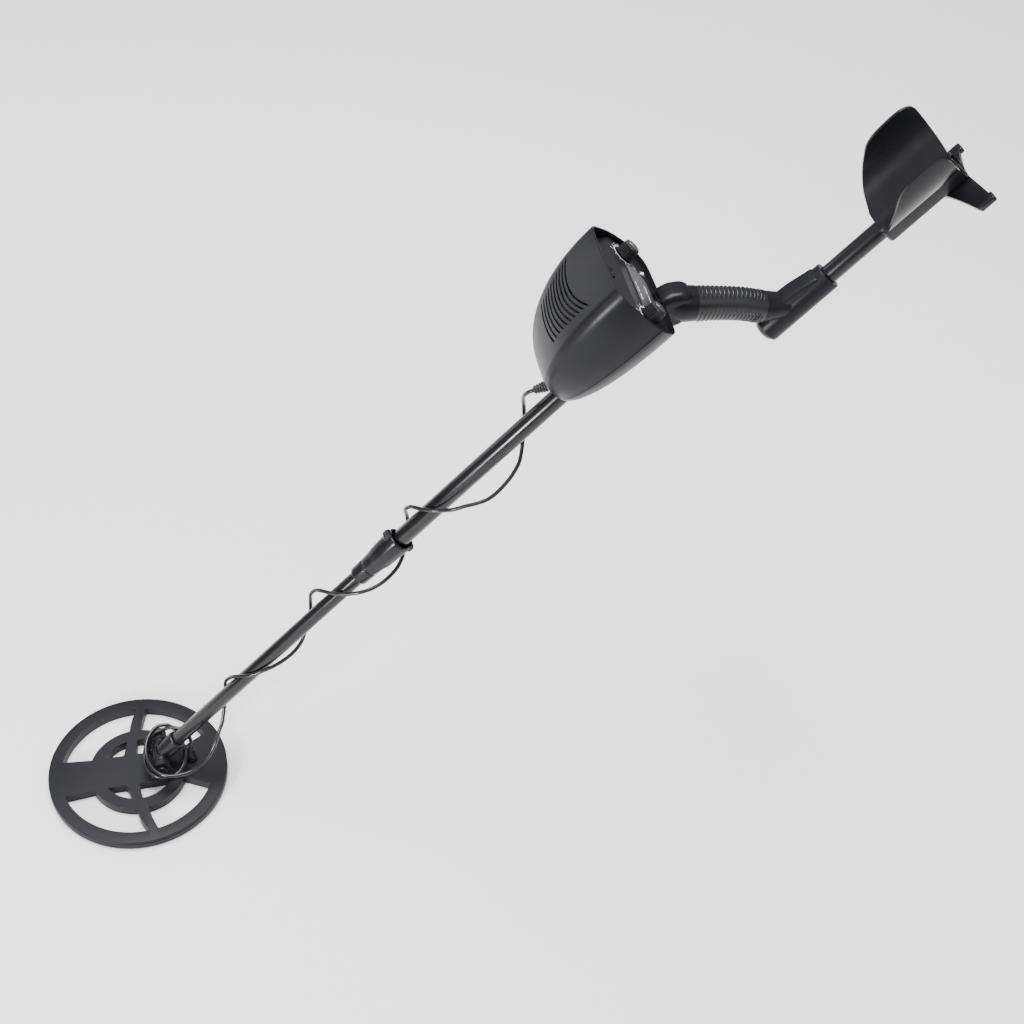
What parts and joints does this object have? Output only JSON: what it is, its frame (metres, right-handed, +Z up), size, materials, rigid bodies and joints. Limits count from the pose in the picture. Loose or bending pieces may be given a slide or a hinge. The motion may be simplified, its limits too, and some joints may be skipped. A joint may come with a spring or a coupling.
{
  "type": "metal detector",
  "caption": "Hand-held metal detector with an open round search coil, telescopic shaft wrapped by its cable, hooded control box, pistol grip and arm cup.",
  "frame": {"origin": "middle of the hand grip", "axes": "+Z up with the coil level as carried; -X ahead, towards the coil; +X back, towards the arm cup; +Y the detector's right"},
  "size_m": [0.9958, 0.2098, 0.823],
  "materials": {
    "housing_plastic": "fine-textured satin charcoal",
    "coil_plastic": "matte dark grey moulding",
    "gloss_plastic": "black, semi-gloss",
    "painted_tube": "gloss black coating on aluminium tube",
    "black_rubber": "black, ribbed where gripped",
    "cable_rubber": "glossy black cable sheath",
    "knob_plastic": "black, fluted",
    "panel_label": "grey printed film",
    "lamp_white": "white diffused lens",
    "plated_steel": "plated",
    "copper_wire": "enamelled copper wire",
    "board_green": "green solder mask",
    "black_moulding": "matte black",
    "white_nylon": "natural nylon",
    "battery_case": "dark blue sleeve"
  },
  "bodies": {
    "upper_frame": {"upper_shaft": "painted_tube", "collet_ring": "white_nylon", "housing_top_shell": "housing_plastic", "housing_tray": "housing_plastic", "control_panel": "black_moulding", "panel_label": "panel_label", "power_lamp": "lamp_white", "headphone_socket": "plated_steel", "left_control_pot": "plated_steel", "right_control_pot": "plated_steel", "circuit_board": "board_green", "signal_chip": "black_moulding", "audio_capacitor": "plated_steel", "coil_plug_socket": "white_nylon", "speaker": "black_moulding", "battery_box": "black_moulding", "battery_1": "battery_case", "battery_2": "battery_case", "cable_strain_relief": "black_rubber", "tray_screw_1": "plated_steel", "tray_screw_2": "plated_steel", "handle_left_half": "housing_plastic", "handle_right_half": "housing_plastic", "handle_screw_1": "plated_steel", "handle_screw_2": "plated_steel", "grip_sleeve": "black_rubber", "arm_tube": "painted_tube", "arm_tube_plug": "black_moulding", "arm_cup": "gloss_plastic", "arm_stand": "gloss_plastic", "cup_bolt": "plated_steel", "cup_nut": "plated_steel", "cable_upper": "cable_rubber", "cable_middle": "cable_rubber"},
    "lower_stem": {"lower_shaft": "painted_tube", "lower_shaft_guide_plug": "white_nylon", "shaft_end_fitting": "gloss_plastic", "cable_tail": "cable_rubber"},
    "search_head": {"coil_bottom_shell": "coil_plastic", "coil_top_shell": "coil_plastic", "transmit_winding": "copper_wire", "receive_winding": "copper_wire", "coil_cable_gland": "black_rubber", "left_pivot_washer": "black_rubber", "right_pivot_washer": "black_rubber", "pivot_bolt": "gloss_plastic"},
    "pivot_nut": {"pivot_knob": "gloss_plastic"},
    "twist_collar": {"lock_collar": "gloss_plastic"},
    "left_control": {"left_control_knob": "knob_plastic", "left_control_stem": "plated_steel"},
    "right_control": {"right_control_knob": "knob_plastic", "right_control_stem": "plated_steel"},
    "door": {"battery_door": "housing_plastic"}
  },
  "joints": [
    {"name": "stem_slide", "type": "slide", "parent": "upper_frame", "child": "lower_stem", "axis": [0.6691, 0, 0.7431], "range_m": [-0.06, 0.16], "deforming": ["cable_middle"]},
    {"name": "coil_tilt", "type": "hinge", "parent": "lower_stem", "child": "search_head", "pos_m": [-0.6274, 0, -0.60713], "axis": [0, 1, 0], "range_deg": [-22, 60], "deforming": ["cable_tail"]},
    {"name": "pivot_nut_turn", "type": "hinge", "parent": "search_head", "child": "pivot_nut", "pos_m": [-0.6274, 0.0225, -0.60713], "axis": [0, 1, 0], "range_deg": [-180, 180]},
    {"name": "collar_twist", "type": "hinge", "parent": "upper_frame", "child": "twist_collar", "pos_m": [-0.3631, 0, -0.31359], "axis": [-0.6691, 0, -0.7431], "range_deg": [0, 40]},
    {"name": "left_control_turn", "type": "hinge", "parent": "upper_frame", "child": "left_control", "pos_m": [-0.10509, -0.0485, 0.03273], "axis": [0.6691, 0, 0.7431], "range_deg": [-150, 150]},
    {"name": "right_control_turn", "type": "hinge", "parent": "upper_frame", "child": "right_control", "pos_m": [-0.10509, 0.0485, 0.03273], "axis": [0.6691, 0, 0.7431], "range_deg": [-150, 150]},
    {"name": "battery_door_slide", "type": "slide", "parent": "upper_frame", "child": "door", "axis": [-0.6691, 0, -0.7431], "range_m": [0, 0.045]}
  ]
}
